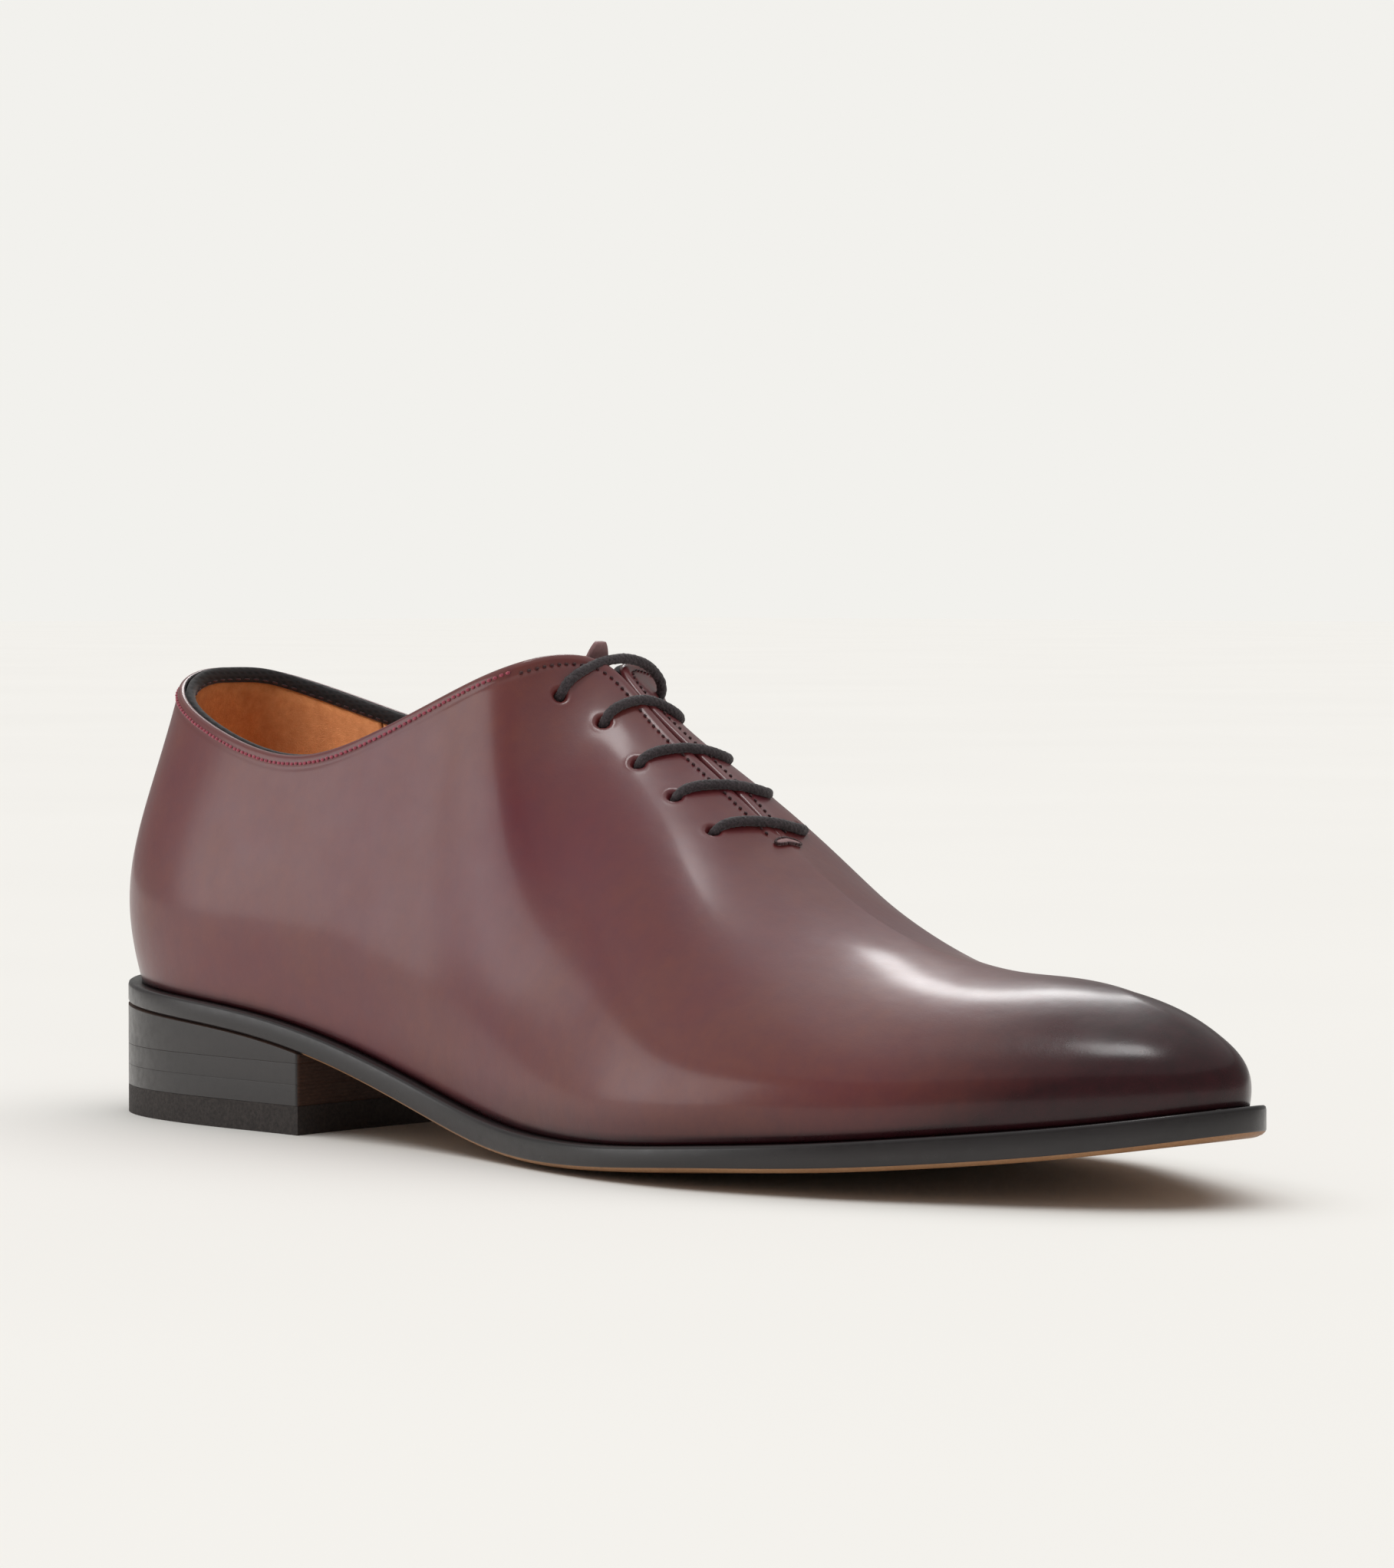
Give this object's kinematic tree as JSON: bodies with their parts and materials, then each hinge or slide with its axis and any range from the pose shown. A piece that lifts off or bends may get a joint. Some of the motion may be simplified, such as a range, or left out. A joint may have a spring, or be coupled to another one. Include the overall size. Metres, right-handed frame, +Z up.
{
  "type": "leather oxford shoe",
  "caption": "Right-foot wholecut leather oxford shoe with laced facings, hinged tongue, leather lining, leather sole and stacked heel.",
  "frame": {"origin": "on the ground under the middle of the shoe's length and width", "axes": "+X towards the toe, +Y towards the inner (medial) side of this right-foot shoe, +Z up"},
  "size_m": [0.3024, 0.1021, 0.1022],
  "materials": {
    "upper_leather": "polished oxblood calf",
    "lining_leather": "natural tan",
    "lining_suede": "tan suede",
    "insole_leather": "natural vegetable tan",
    "sole_leather": "natural bottom, black waxed edge",
    "stacked_leather": "black waxed edge",
    "stiffener_leather": "raw board",
    "heel_rubber": "matt black rubber",
    "steel": "plain steel",
    "brass": "dull",
    "cork": "ground cork",
    "foam": "soft foam",
    "canvas": "cotton canvas",
    "binding_tape": "black tape",
    "lace_cord": "waxed black cord",
    "aglet_plastic": "black",
    "thread": "dark red thread"
  },
  "bodies": {
    "shoe": {"heel_top_piece": "heel_rubber", "heel_lift_1": "stacked_leather", "heel_lift_2": "stacked_leather", "heel_lift_3": "stacked_leather", "heel_nails": "steel", "seat_nails": "steel", "outsole": "sole_leather", "insole_board": "insole_leather", "heel_pad": "foam", "sock_lining": "lining_leather", "cork_filler": "cork", "shank": "steel", "upper_wholecut": "upper_leather", "heel_counter": "stiffener_leather", "toe_puff": "stiffener_leather", "vamp_doubler": "canvas", "facing_stay_lateral": "canvas", "facing_stay_medial": "canvas", "heel_lining": "lining_suede", "quarter_lining_lateral": "lining_leather", "quarter_lining_medial": "lining_leather", "vamp_lining": "lining_leather", "eyelets_lateral": "brass", "eyelets_medial": "brass", "topline_binding": "binding_tape", "lace": "lace_cord", "aglet_lateral": "aglet_plastic", "aglet_medial": "aglet_plastic", "bar_tack": "thread"},
    "tongue": {"tongue": "upper_leather", "tongue_lining": "lining_leather"}
  },
  "joints": [
    {"name": "tongue_fold", "type": "hinge", "parent": "shoe", "child": "tongue", "pos_m": [0.0382, 0.0014, 0.053], "axis": [0, -1, 0], "range_deg": [0, 22], "stiffness_Nm_per_rad": 0.05}
  ]
}
